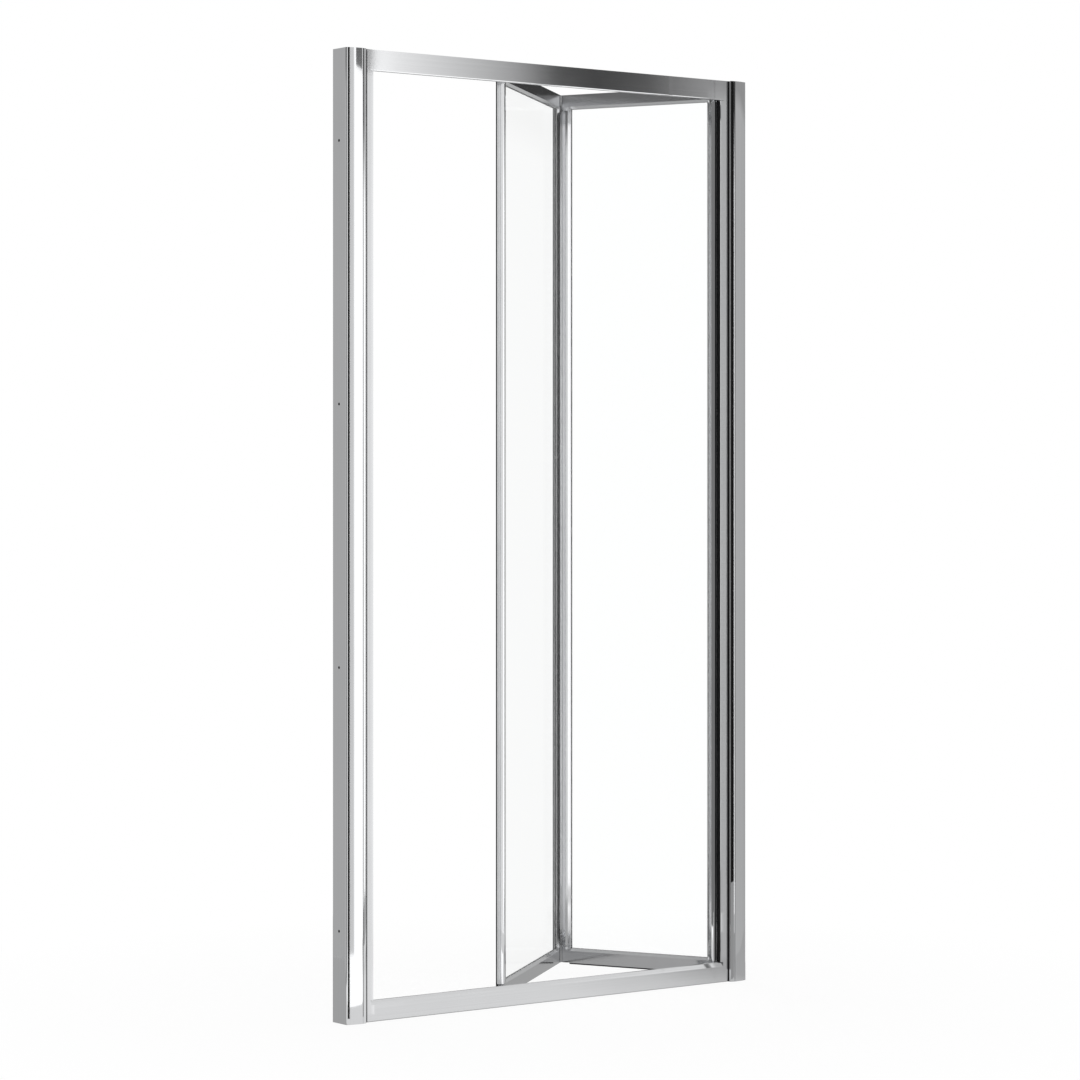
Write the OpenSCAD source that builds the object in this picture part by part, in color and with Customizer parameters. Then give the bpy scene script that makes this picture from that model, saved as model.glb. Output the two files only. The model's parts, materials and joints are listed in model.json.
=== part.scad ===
// Framed bifold shower door: an adjustable wall frame with a head rail and a
// sill, a hinge leaf that pivots beside the right-hand jamb, and a sliding
// leaf that folds inwards on a continuous bead-and-socket hinge.
// Millimetres. The origin is on the tray, mid-way between the walls, under
// the pivot line. +X runs to the hinge side, +Y into the shower, +Z up.

/* [Overall] */
// Width between the two walls
door_w = 990; // [940:5:1040]
// Height of the frame
door_h = 1850; // [1700:10:2000]
// Angle of the hinge leaf from the closed plane, as drawn
hinge_open = 64.5; // [40:0.5:67]
// Length of the hinge leaf from its pivot to the fold axis
hinge_leaf_len = 350; // [330:5:370]

/* [Wall profile] */
// Width of the wall profile seen from the front
wall_face = 44; // [43:0.2:46]
// Depth of the wall profile's channel from front to back
wall_depth = 48; // [48:1:48]
// Wall thickness of the wall profile
wall_t = 2.2; // [2:0.1:2.4]
// How far the rounded front stands out from the channel
front_rise = 7; // [6:0.25:8]
// Distance from the wall to the crest of the rounded front
crest_in = 32; // [30:0.5:34]
// Radius of the front from its crest to the wall
wall_sweep_r = 88; // [80:1:100]
// Radius of the front from its crest to the inner edge
inner_sweep_r = 24; // [22:0.5:28]
// Radius of the profile's outer corners
wall_corner = 4; // [3:0.5:4.5]
// Radius of the rounded front's inner edge
edge_r = 2; // [1.5:0.25:2.5]
// Radius of each wall fixing hole
wall_hole_r = 2.75; // [2:0.25:3]
// Distance between wall fixing holes up the profile
wall_hole_step = 500; // [450:10:520]

/* [Jambs and rails] */
// Sliding clearance between a jamb and its wall profile
jamb_gap = 0.3; // [0.2:0.05:0.5]
// Width of the jamb's front lip beyond its box
lip_w = 6; // [5:0.5:6]
// Wall thickness of the jambs and rails
rail_t = 1.8; // [1.6:0.1:2]
// Height of the head rail's front face, and of the sill's upstand
rail_face = 41; // [38:0.5:44]
// Height of the upright part of the sill's front face
sill_flat = 32; // [28:0.5:34]
// How far the top of the sill leans back
sill_lean = 3.8; // [2:0.2:4]
// Height of the sill's rear flange
sill_rear = 13; // [12.5:0.1:13.5]
// Height of the head rail's rear flange
head_rear = 8.5; // [8:0.1:9]
// Radius of the rounded edge under the head rail's face
head_bead_r = 2.8; // [2:0.1:3]

/* [Leaves] */
// Thickness of both leaves
leaf_t = 16; // [16:1:16]
// Height of the leaves' lower edge above the tray
leaf_low = 18; // [18:0.1:18.5]
// Distance from the leaves' upper edge to the top of the frame
leaf_drop = 12; // [12:0.1:12.5]
// Width of the leaf stiles, without the glazing bead
stile_w = 13; // [13:0.5:15]
// Height of the leaf rails, without the glazing bead
leaf_rail_h = 25; // [24:0.5:28]
// Wall thickness of the leaf extrusions
leaf_wall = 1.5; // [1.2:0.1:1.8]
// Width of the bevelled glazing beads
bead_w = 5; // [4:0.5:6]
// Height of the glazing bead beside the glass, from mid-leaf
bead_low = 4.2; // [3.8:0.1:5]
// Thickness of the glass
glass_t = 4; // [4:0.5:5]
// Thickness of the gasket on each side of the glass
gasket_t = 1.2; // [0.8:0.1:1.2]

/* [Fold hinge] */
// Radius of the hinge bead on the hinge leaf
hinge_bead_r = 3; // [2.8:0.1:3.2]
// Running clearance between the bead and its liner
hinge_gap = 0.08; // [0.05:0.01:0.1]
// Thickness of the nylon liner
liner_t = 0.6; // [0.5:0.05:0.7]
// Wall of the socket round the liner
socket_t = 1.2; // [1:0.1:1.3]
// Depth of the fold axis behind the outer face of the leaves
hinge_set = 2; // [1.8:0.1:2.2]

/* [Pivots and guides] */
// Radius of the pivot pins
pivot_r = 3; // [2.5:0.1:3]
// Running clearance round pins and studs
pin_gap = 0.05; // [0.02:0.01:0.08]
// Radius of the guide studs inside the shoes
stud_r = 2; // [1.8:0.1:2.2]
// Width of the guide shoes
shoe_w = 6; // [5:0.5:6.5]
// Length of the guide shoes
shoe_l = 26; // [18:1:26]
// Height of the guide shoes
shoe_h = 7; // [6:0.5:7]
// Opening beyond the drawn pose at which the track stop is met
stop_extra = 4; // [2:0.5:4]

/* [Hidden] */
$fn = 48;

// Front-to-back places, from the pivot line
wall_front = -wall_depth / 2;
wall_rear = wall_depth / 2;
rail_front = wall_front + wall_t + jamb_gap;
jamb_rear = wall_rear - wall_t - jamb_gap;

// Places across the door
half_w = door_w / 2;
jamb_start = 18;
jamb_end = 58;
pivot_in = 67;
pivot_x = half_w - pivot_in;
rail_len = 2 * (half_w - jamb_end);

// Closing side: magnet strip, gap, leaf seal and leaf edge
magnet_t = 5.5;
close_gap = 0.4;
close_seal_t = 5;
edge_in = leaf_t / 2;
guide_closed_x = jamb_end - half_w + magnet_t + close_gap + close_seal_t + edge_in;
sliding_leaf_len = pivot_x - guide_closed_x - hinge_leaf_len;

// Fold geometry: the guide axis always stands on the pivot line
fold_off = leaf_t / 2 - hinge_set;
fold_x = pivot_x - hinge_leaf_len * cos(hinge_open) - fold_off * sin(hinge_open);
fold_y = hinge_leaf_len * sin(hinge_open) - fold_off * cos(hinge_open);
slide_reach = sqrt(pow(sliding_leaf_len, 2) + pow(fold_off, 2));
slide_open = asin(fold_y / slide_reach) + atan2(fold_off, sliding_leaf_len);
guide_x = fold_x - sliding_leaf_len * cos(slide_open) - fold_off * sin(slide_open);

// The same guide axis when the hinge leaf meets the track stop
stop_open = hinge_open + stop_extra;
stop_turn = slide_open * stop_open / hinge_open;
stop_guide_x = pivot_x - hinge_leaf_len * cos(stop_open) - fold_off * sin(stop_open)
    - sliding_leaf_len * cos(stop_turn) - fold_off * sin(stop_turn);
stop_x = stop_guide_x + shoe_l / 2 + 0.3;
buffer_t = 3;
stop_len = 16;
stop_w = 18;

// Heights
leaf_high = door_h - leaf_drop;
glass_low = leaf_low + leaf_rail_h;
glass_high = leaf_high - leaf_rail_h;
edge_play = 1;
leaf_play = 0.6;
mitre_gap = 0.1;
face_low = rail_face + 1;
face_high = door_h - rail_face - 1;
track_low = sill_rear - 3.6;
track_high = door_h - rail_t - 1.8;

// Leaf extrusion half thickness and hollow
half_t = leaf_t / 2;
half_hollow = half_t - leaf_wall;
half_pocket = glass_t / 2 + gasket_t;

// Fold hinge radii and the mouth of the socket
liner_in = hinge_bead_r + hinge_gap;
liner_out = liner_in + liner_t;
socket_out = liner_out + socket_t;
mouth_low = -85;
mouth_high = 68;
liner_inset = 4;
stem_dir = 45;
stem_w = 2;
bead_box = 5.6;
socket_box = -3.5;

// Screws
port_r = 3.2;
port_bore = 1.6;
port_sink = 0.4;
port_low = rail_t + port_r - port_sink;
port_front = rail_front + rail_t + port_r - port_sink;
port_rear = 16.5;
port_top = door_h - rail_t - port_r + port_sink;
frame_head_r = 2.7;
frame_head_t = 2;
frame_screw_len = 20;
corner_screw_r = 2;
corner_screw_len = 18;
corner_head_r = 3.5;
corner_head_t = 1.6;
corner_port_r = 3.8;
corner_screw_up = 18;
adjuster_r = 2;
adjuster_head_r = 4;
adjuster_head_t = 2.4;
adjuster_u = 34;
adjuster_len = 12;
adjuster_slot = 12;
adjuster_z = [150, 925, 1700];
block_screw_r = 2;
block_screw_in = 11;
screw_cut = 30;
access_r = 4;

// Pivot blocks, pins and plugs
block_l = 16;
block_front = -13.2;
block_rear = 13.1;
block_low_top = 15.5;
block_high_base = leaf_high + 1.2;
block_bore_floor = 4.5;
washer_r = 6.4;
washer_t = 0.8;
pin_in_plug = 12;
plug_h = 13;
plug_wall = 0.5;
collar_r = 3.2;
collar_t = 1.2;
shoe_room = 6;

// Colours
metal = [0.80, 0.81, 0.83];
steel = [0.70, 0.71, 0.73];
clear = [0.86, 0.93, 0.93, 0.35];
black_rubber = [0.07, 0.07, 0.08];
grey_seal = [0.78, 0.80, 0.81];
nylon = [0.88, 0.88, 0.86];

// ---------- Shapes that repeat ----------

module bar(x0, x1, y0, y1) {
    translate([x0, y0]) square([x1 - x0, y1 - y0]);
}

module block(x0, x1, y0, y1, z0, z1) {
    translate([x0, y0, z0]) cube([x1 - x0, y1 - y0, z1 - z0]);
}

// A profile drawn in Y and Z, run along +X from x0
module along_x(x0, len) {
    translate([x0, 0, 0]) rotate([90, 0, 90]) linear_extrude(len) children();
}

// A rod from one X to another, at a given Y and Z
module rod_x(x0, x1, y, z, r) {
    translate([x0, y, z]) rotate([0, 90, 0]) cylinder(r = r, h = x1 - x0);
}

module rod_z(x, y, z0, z1, r) {
    translate([x, y, z0]) cylinder(r = r, h = z1 - z0);
}

// Closed pose to drawn pose. The hinge leaf's own origin is its pivot, and
// it runs towards -X.
module on_hinge_leaf() {
    translate([pivot_x, 0, 0]) rotate([0, 0, -hinge_open]) children();
}

// The sliding leaf's own origin is the fold axis, and it runs towards -X
module on_sliding_leaf() {
    translate([fold_x, fold_y, 0]) rotate([0, 0, slide_open]) children();
}

// Moves a drawing from the guide axis to the sliding leaf's origin
module at_guide() {
    translate([-sliding_leaf_len, fold_off, 0]) children();
}

// ---------- Frame ----------

// Section of the wall profile: x from the wall, y front to back. Its front
// falls away from a crest to both sides, over a hollow chamber.
module wall_section() {
    groove_w = 1.8;
    groove_deep = 1.2;
    groove_past_crest = 1.4;
    groove_x = crest_in + groove_past_crest;
    difference() {
        union() {
            bar(wall_corner, wall_face, wall_front, wall_rear);
            bar(0, wall_corner, corner_y, wall_rear - wall_corner);
            translate([wall_corner, wall_rear - wall_corner]) circle(wall_corner);
            translate([wall_corner, corner_y]) circle(wall_corner);
            front_sweep(corner_x, crest_in, wall_sweep_r, 0);
            front_sweep(crest_in, edge_x, inner_sweep_r, 0);
            translate([wall_face - edge_r, edge_y]) circle(edge_r);
            bar(wall_face - edge_r, wall_face, edge_y, wall_front + 1);
        }
        bar(wall_t, wall_face + 1, wall_front + wall_t, wall_rear - wall_t);
        front_sweep(3 * wall_t, crest_in, wall_sweep_r, wall_t);
        front_sweep(crest_in, wall_face - wall_t, inner_sweep_r, wall_t);
        bar(groove_x, groove_x + groove_w, crest_y - 1, crest_y + groove_deep);
    }
}

// The part of the rounded front from x0 to x1, drawn in by t all round
module front_sweep(x0, x1, r, t) {
    intersection() {
        translate([crest_in, crest_y + r]) circle(r - t, $fn = 180);
        bar(x0, x1, crest_y - 1, wall_front);
    }
}

// Where an arc that is tangent to the front's sweep has its centre
function blend_y(sweep, r, reach) =
    crest_y + sweep - sqrt(pow(sweep - r, 2) - pow(reach, 2));

crest_y = wall_front - front_rise;
corner_reach = crest_in - wall_corner;
corner_y = blend_y(wall_sweep_r, wall_corner, corner_reach);
corner_x = crest_in - corner_reach * wall_sweep_r / (wall_sweep_r - wall_corner);
edge_reach = wall_face - edge_r - crest_in;
edge_y = blend_y(inner_sweep_r, edge_r, edge_reach);
edge_x = crest_in + edge_reach * inner_sweep_r / (inner_sweep_r - edge_r);

// The left-hand wall profile, with wall fixing holes and adjuster slots
module wall_profile() {
    difference() {
        linear_extrude(door_h) wall_section();
        for (i = [-1.5 : 1 : 1.5]) {
            rod_x(-1, wall_t + 1, 0, door_h / 2 + i * wall_hole_step, wall_hole_r);
        }
        for (z = adjuster_z) {
            adjuster_slot_cut(z);
        }
    }
}

module adjuster_slot_cut(z) {
    slot_r = adjuster_r + 0.3;
    for (side = [-0.5, 0.5]) {
        translate([adjuster_u + side * adjuster_slot, wall_rear + 1, z])
            rotate([90, 0, 0]) cylinder(r = slot_r, h = wall_t + 2);
    }
    block(
        adjuster_u - adjuster_slot / 2, adjuster_u + adjuster_slot / 2,
        wall_rear - wall_t - 1, wall_rear + 1, z - slot_r, z + slot_r
    );
}

module wall_profile_left() {
    color(metal) translate([-half_w, 0, 0]) wall_profile();
}

module wall_profile_right() {
    color(metal) mirror([1, 0, 0]) translate([-half_w, 0, 0]) wall_profile();
}

// A jamb: a box that slides in the wall profile, with a lip in front that
// is coped away where the head rail and the sill meet the box
module jamb() {
    difference() {
        linear_extrude(door_h) difference() {
            union() {
                bar(jamb_start, jamb_end, rail_front, jamb_rear);
                bar(jamb_end - 1, jamb_end + lip_w, rail_front, rail_front + rail_t);
            }
            bar(
                jamb_start + rail_t, jamb_end - rail_t,
                rail_front + rail_t, jamb_rear - rail_t
            );
        }
        block(jamb_end, jamb_end + lip_w + 1, rail_front - 1, 0, -1, rail_face);
        block(
            jamb_end, jamb_end + lip_w + 1, rail_front - 1, 0,
            door_h - rail_face, door_h + 1
        );
        for (p = frame_screw_places()) {
            rod_x(jamb_end - rail_t - 1, jamb_end + 1, p[0], p[1], port_bore + 0.1);
            rod_x(jamb_start - 1, jamb_start + rail_t + 1, p[0], p[1], access_r);
        }
        for (z = adjuster_z) {
            translate([adjuster_u, jamb_rear + 1, z]) rotate([90, 0, 0])
                cylinder(r = adjuster_r, h = rail_t + 2);
        }
    }
}

module strike_jamb() {
    color(metal) translate([-half_w, 0, 0]) jamb();
}

module pivot_jamb() {
    color(metal) mirror([1, 0, 0]) translate([-half_w, 0, 0]) jamb();
}

// Y and Z of each screw that ties a rail to a jamb
function frame_screw_places() = [
    [port_front, port_low],
    [port_rear, port_low],
    [port_front, port_top]
];

module head_rail() {
    bead_y = rail_front + head_bead_r;
    bead_z = door_h - rail_face + head_bead_r;
    color(metal) difference() {
        along_x(-rail_len / 2, rail_len) difference() {
            union() {
                bar(rail_front, wall_rear, door_h - rail_t, door_h);
                bar(rail_front, rail_front + rail_t, bead_z, door_h);
                bar(wall_rear - rail_t, wall_rear, door_h - head_rear, door_h);
                translate([bead_y, bead_z]) circle(head_bead_r);
                translate([port_front, port_top]) circle(port_r);
            }
            translate([port_front, port_top]) circle(port_bore);
        }
        rod_z(pivot_x - block_screw_in, 0, door_h - 3, door_h + 1, block_screw_r);
        rod_z(stop_x + buffer_t + stop_len / 2, 0, door_h - 3, door_h + 1, block_screw_r);
    }
}

module sill_rail() {
    lean_y = rail_front + sill_lean;
    color(metal) difference() {
        along_x(-rail_len / 2, rail_len) difference() {
            union() {
                polygon([
                    [rail_front, 0],
                    [wall_rear, 0],
                    [wall_rear, sill_rear],
                    [wall_rear - rail_t, sill_rear],
                    [wall_rear - rail_t, rail_t],
                    [rail_front + rail_t, rail_t],
                    [rail_front + rail_t, sill_flat - 0.8],
                    [lean_y + rail_t, rail_face - 1.6],
                    [lean_y + rail_t, rail_face],
                    [lean_y + 0.6, rail_face],
                    [lean_y, rail_face - 0.8],
                    [rail_front, sill_flat]
                ]);
                translate([port_front, port_low]) circle(port_r);
                translate([port_rear, port_low]) circle(port_r);
            }
            translate([port_front, port_low]) circle(port_bore);
            translate([port_rear, port_low]) circle(port_bore);
        }
        rod_z(pivot_x - block_screw_in, 0, -1, 3, block_screw_r);
    }
}

// Magnetic strip on the strike jamb, facing the closing seal
module jamb_magnet_strip() {
    x0 = jamb_end - half_w;
    color(grey_seal) block(x0, x0 + magnet_t, -1, half_t, face_low, face_high);
}

// Soft seal behind the pivot jamb's lip, which reaches the shut hinge leaf
module pivot_jamb_seal() {
    x1 = half_w - jamb_end;
    color(black_rubber) block(
        x1 - lip_w + 0.5, x1,
        rail_front + rail_t, -half_t - leaf_play, face_low, face_high
    );
}

module frame_screw(y, z) {
    x0 = jamb_end - rail_t;
    rod_x(x0 - frame_head_t, x0, y, z, frame_head_r);
    rod_x(x0 - 0.5, x0 + frame_screw_len, y, z, port_bore);
}

module frame_screws() {
    color(steel) for (side = [0, 1]) {
        mirror([side, 0, 0]) translate([-half_w, 0, 0])
            for (p = frame_screw_places()) {
                frame_screw(p[0], p[1]);
            }
    }
}

module adjuster_screw(z) {
    translate([adjuster_u, wall_rear, z]) rotate([90, 0, 0])
        cylinder(r = adjuster_r, h = adjuster_len);
    difference() {
        translate([adjuster_u, wall_rear, z]) rotate([-90, 0, 0])
            cylinder(r = adjuster_head_r, h = adjuster_head_t);
        block(
            adjuster_u - 0.5, adjuster_u + 0.5,
            wall_rear + 1.2, wall_rear + 4, z - 3, z + 3
        );
        block(
            adjuster_u - 3, adjuster_u + 3,
            wall_rear + 1.2, wall_rear + 4, z - 0.5, z + 0.5
        );
    }
}

module adjuster_screws() {
    color(steel) for (side = [0, 1]) {
        mirror([side, 0, 0]) translate([-half_w, 0, 0])
            for (z = adjuster_z) {
                adjuster_screw(z);
            }
    }
}

// ---------- Pivot blocks and track stop ----------

module pivot_block_outline(z0, z1) {
    block(
        pivot_x - block_l, half_w - jamb_end,
        block_front, block_rear, z0, z1
    );
}

module pivot_block_bottom() {
    color(nylon) difference() {
        pivot_block_outline(rail_t, block_low_top);
        rod_z(pivot_x, 0, block_bore_floor, block_low_top + 1, pivot_r + pin_gap);
        block_screw_cut(block_low_top, -1);
    }
}

module pivot_block_top() {
    color(nylon) difference() {
        pivot_block_outline(block_high_base, door_h - rail_t);
        rod_z(pivot_x, 0, block_high_base - 1, door_h, pivot_r + pin_gap);
        block_screw_cut(block_high_base, 1);
    }
}

// Countersunk screw in the face at z; way is the direction it is driven
module block_screw(z, way, len) {
    translate([pivot_x - block_screw_in, 0, z]) mirror([0, 0, way < 0 ? 1 : 0]) {
        cylinder(r1 = block_screw_r + 1.8, r2 = block_screw_r, h = 1.8);
        cylinder(r = block_screw_r, h = len);
    }
}

module block_screw_cut(z, way) {
    block_screw(z, way, screw_cut);
}

module pivot_block_screws() {
    color(steel) {
        block_screw(block_low_top, -1, block_low_top - 0.3);
        block_screw(block_high_base, 1, door_h - block_high_base - 0.3);
    }
}

module thrust_washer() {
    color(nylon) difference() {
        rod_z(pivot_x, 0, block_low_top, block_low_top + washer_t, washer_r);
        rod_z(pivot_x, 0, block_low_top - 1, leaf_low, pivot_r + pin_gap);
    }
}

module track_stop() {
    x0 = stop_x + buffer_t;
    color(nylon) difference() {
        block(
            x0, x0 + stop_len, -stop_w / 2, stop_w / 2,
            leaf_high + 1.6, door_h - rail_t
        );
        stop_screw_shape(screw_cut);
    }
}

module track_stop_buffer() {
    color(black_rubber) block(
        stop_x, stop_x + buffer_t, -stop_w / 2 + 1, stop_w / 2 - 1,
        leaf_high + 2, door_h - rail_t - 0.4
    );
}

module stop_screw_shape(len) {
    translate([stop_x + buffer_t + stop_len / 2, 0, leaf_high + 1.6]) {
        cylinder(r1 = block_screw_r + 1.8, r2 = block_screw_r, h = 1.8);
        cylinder(r = block_screw_r, h = len);
    }
}

module track_stop_screw() {
    color(steel) stop_screw_shape(leaf_drop - 1.6 - 0.3);
}

// ---------- Leaf extrusions ----------

// Bare stile: a box from x0 to x1 about mid-leaf, hollow inside
module stile_box(x0, x1) {
    difference() {
        bar(x0, x1, -half_t, half_t);
        bar(x0 + leaf_wall, x1 - leaf_wall, -half_hollow, half_hollow);
    }
}

module leaf_height() {
    translate([0, 0, leaf_low]) linear_extrude(leaf_high - leaf_low) children();
}

// Section of a leaf rail with a screw port, y across and z up from its
// outer edge
module leaf_rail_section(seal_slot) {
    difference() {
        union() {
            difference() {
                bar(-half_t, half_t, 0, leaf_rail_h);
                bar(-half_hollow, half_hollow, leaf_wall, leaf_rail_h - leaf_wall);
            }
            bar(-0.8, 0.8, leaf_wall - 0.1, leaf_rail_h - leaf_wall + 0.1);
            translate([0, corner_screw_up]) circle(corner_port_r);
        }
        translate([0, corner_screw_up]) circle(corner_screw_r);
        if (seal_slot) {
            bar(-wiper_foot / 2, wiper_foot / 2, -1, wiper_sunk);
        }
    }
}

wiper_foot = 4.4;
wiper_sunk = 0.8;
wiper_t = 1.6;
wiper_drop = 4;

module leaf_bottom_rail(x0, x1) {
    translate([0, 0, leaf_low]) along_x(x0, x1 - x0) leaf_rail_section(true);
}

module leaf_top_rail(x0, x1) {
    translate([0, 0, leaf_high]) mirror([0, 0, 1])
        along_x(x0, x1 - x0) leaf_rail_section(false);
}

// Drip wiper under a leaf, from x0 to x1
module wiper(x0, x1) {
    along_x(x0, x1 - x0) {
        bar(-wiper_foot / 2, wiper_foot / 2, leaf_low, leaf_low + wiper_sunk);
        bar(-wiper_t / 2, wiper_t / 2, leaf_low - wiper_drop, leaf_low + 0.2);
    }
}

// Glass between two stile faces
module pane(x0, x1) {
    block(
        x0 + edge_play, x1 - edge_play, -glass_t / 2, glass_t / 2,
        glass_low + edge_play, glass_high - edge_play
    );
}

// Channel gasket round the pane's edge
module pane_gasket(x0, x1) {
    sight = bead_w + 0.6;
    difference() {
        block(x0, x1, -half_pocket, half_pocket, glass_low, glass_high);
        pane(x0, x1);
        block(
            x0 + sight, x1 - sight, -half_pocket - 1, half_pocket + 1,
            glass_low + sight, glass_high - sight
        );
    }
}

// One bevelled glazing bead with mitred ends, along +X, growing to +Z
module bead_strip(len) {
    difference() {
        along_x(0, len) polygon([
            [-half_t, 0],
            [-half_pocket, 0],
            [-half_pocket, bead_w],
            [-bead_low, bead_w]
        ]);
        mitre_cut();
        translate([len, 0, 0]) mirror([1, 0, 0]) mitre_cut();
    }
}

// Takes off a strip's end at 45 degrees, with half of the mitre's gap
module mitre_cut() {
    size = 40;
    rotate([0, 45, 0]) translate([mitre_gap / 2 - size, -size / 2, -size / 4])
        cube(size);
}

// Four beads on each face of a pane
module glazing_beads(x0, x1) {
    wide = x1 - x0;
    tall = glass_high - glass_low;
    for (face = [0, 1]) {
        mirror([0, face, 0]) {
            translate([x0, 0, glass_low]) bead_strip(wide);
            translate([x0, 0, glass_high]) mirror([0, 0, 1]) bead_strip(wide);
            translate([x1, 0, glass_low]) rotate([0, -90, 0]) bead_strip(tall);
            translate([x0, 0, glass_low]) mirror([1, 0, 0])
                rotate([0, -90, 0]) bead_strip(tall);
        }
    }
}

// A countersunk corner screw: head at the origin, driven along +X
module corner_screw() {
    rotate([0, 90, 0]) {
        cylinder(r1 = corner_head_r, r2 = corner_screw_r, h = corner_head_t);
        cylinder(r = corner_screw_r, h = stile_w + corner_screw_len);
    }
}

corner_screw_z = [leaf_low + corner_screw_up, leaf_high - corner_screw_up];

// ---------- Hinge leaf ----------

pivot_face = edge_in - stile_w;
bead_face = -hinge_leaf_len + bead_box + stile_w;
pivot_head_x = sqrt(pow(edge_in, 2) - pow(corner_head_r, 2)) - 0.1;

// A bar from x0 that ends in a half circle about the pivot
module round_end(x0, r) {
    bar(x0, 0, -r, r);
    difference() {
        circle(r);
        bar(-r - 1, 0, -r - 1, r + 1);
    }
}

module pivot_stile() {
    color(metal) on_hinge_leaf() difference() {
        leaf_height() difference() {
            round_end(pivot_face, half_t);
            round_end(-pivot_r - plug_wall, half_hollow);
        }
        for (z = corner_screw_z) {
            translate([pivot_head_x, 0, z]) mirror([1, 0, 0]) corner_screw();
            rod_x(pivot_head_x, edge_in + 1, 0, z, corner_head_r);
        }
    }
}

// Section of the bead and its stem, about the fold axis
module hinge_bead() {
    circle(hinge_bead_r);
    rotate([0, 0, stem_dir])
        bar(0, (bead_box + leaf_wall / 2) / cos(stem_dir), -stem_w / 2, stem_w / 2);
}

module bead_stile() {
    color(metal) on_hinge_leaf() difference() {
        leaf_height() translate([-hinge_leaf_len, -fold_off]) {
            hinge_bead();
            translate([0, fold_off]) stile_box(bead_box, bead_box + stile_w);
        }
        for (z = corner_screw_z) {
            translate([-hinge_leaf_len + bead_box, 0, z]) corner_screw();
        }
    }
}

module hinge_leaf_top_rail() {
    color(metal) on_hinge_leaf() leaf_top_rail(bead_face, pivot_face);
}

module hinge_leaf_bottom_rail() {
    color(metal) on_hinge_leaf() leaf_bottom_rail(bead_face, pivot_face);
}

module hinge_leaf_glass() {
    color(clear) on_hinge_leaf() pane(bead_face, pivot_face);
}

module hinge_leaf_gasket() {
    color(grey_seal) on_hinge_leaf() pane_gasket(bead_face, pivot_face);
}

module hinge_leaf_glazing_beads() {
    color(metal) on_hinge_leaf() glazing_beads(bead_face, pivot_face);
}

module hinge_leaf_screws() {
    color(steel) on_hinge_leaf() for (z = corner_screw_z) {
        translate([pivot_head_x, 0, z]) mirror([1, 0, 0]) corner_screw();
        translate([-hinge_leaf_len + bead_box, 0, z]) corner_screw();
    }
}

module hinge_leaf_wiper() {
    color(grey_seal) on_hinge_leaf() wiper(bead_face, -block_l - shoe_room);
}

// Thin caps in the open ends of a box section
module stile_caps(x0, x1) {
    cap_t = 1.5;
    for (z = [leaf_low, leaf_high - cap_t]) {
        block(
            x0 + leaf_wall, x1 - leaf_wall,
            -half_hollow, half_hollow, z, z + cap_t
        );
    }
}

module bead_stile_caps() {
    color(nylon) on_hinge_leaf() translate([-hinge_leaf_len, 0, 0])
        stile_caps(bead_box, bead_box + stile_w);
}

// Nylon plug in the end of the pivot stile, bored for the pivot pin
module pivot_plug(z) {
    color(nylon) on_hinge_leaf() translate([0, 0, z]) difference() {
        linear_extrude(plug_h) round_end(-pivot_r - plug_wall, half_hollow);
        translate([0, 0, -1]) cylinder(r = pivot_r, h = plug_h + 2);
    }
}

module pivot_plug_top() {
    pivot_plug(leaf_high - plug_h);
}

module pivot_plug_bottom() {
    pivot_plug(leaf_low);
}

module pivot_pin_top() {
    color(steel) on_hinge_leaf()
        rod_z(0, 0, leaf_high - pin_in_plug, door_h - rail_t - 1, pivot_r);
}

module pivot_pin_bottom() {
    color(steel) on_hinge_leaf()
        rod_z(0, 0, block_bore_floor + 0.3, leaf_low + pin_in_plug, pivot_r);
}

// Hexagonal nut that sets the height of the leaf
module height_nut() {
    z0 = block_low_top + washer_t;
    color(steel) on_hinge_leaf() difference() {
        translate([0, 0, z0]) cylinder(r = washer_r, h = leaf_low - z0, $fn = 6);
        rod_z(0, 0, z0 - 1, leaf_low + 1, pivot_r);
    }
}

// ---------- Sliding leaf ----------

guide_face = stile_w - edge_in;
socket_face = socket_box - stile_w;
closing_round = 6;

// The socket: a ring about the fold axis, open where the stem passes
module socket_ring(r_in, r_out, inset) {
    reach = 4 * r_out;
    difference() {
        circle(r_out);
        circle(r_in);
        polygon([
            [0, 0],
            [reach * cos(mouth_low - inset), reach * sin(mouth_low - inset)],
            [reach, -reach],
            [reach, reach],
            [reach * cos(mouth_high + inset), reach * sin(mouth_high + inset)]
        ]);
    }
}

module socket_stile() {
    color(metal) on_sliding_leaf() difference() {
        leaf_height() {
            socket_ring(liner_out, socket_out, 0);
            difference() {
                translate([0, fold_off]) stile_box(socket_face, socket_box);
                circle(liner_out);
            }
        }
        for (z = corner_screw_z) {
            translate([socket_box, fold_off, z]) mirror([1, 0, 0]) corner_screw();
        }
    }
}

module hinge_liner() {
    color(nylon) on_sliding_leaf() leaf_height()
        socket_ring(liner_in, liner_out, liner_inset);
}

// Soft bulb that fills the fold on the inner side
module fold_seal() {
    pad_t = 1.2;
    pad_h = 6;
    bulb_r = 3.2;
    bulb_t = 0.8;
    bulb_sunk = 0.3;
    color(black_rubber) on_sliding_leaf()
        translate([socket_box, fold_off, glass_low])
            linear_extrude(glass_high - glass_low) {
                bar(0, pad_t, 0, pad_h);
                translate([pad_t + bulb_r - bulb_sunk, pad_h / 2]) difference() {
                    circle(bulb_r);
                    circle(bulb_r - bulb_t);
                }
            }
}

// Section of the closing stile about the guide axis, rounded on its outer
// leading corner
module closing_section() {
    lead = -edge_in;
    difference() {
        union() {
            bar(lead + closing_round, guide_face, -half_t, half_t);
            bar(lead, guide_face, -half_t + closing_round, half_t);
            translate([lead + closing_round, -half_t + closing_round])
                circle(closing_round);
        }
        bar(
            lead + 2 * leaf_wall, guide_face - leaf_wall,
            -half_t + 2 * leaf_wall, half_hollow
        );
    }
}

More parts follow.
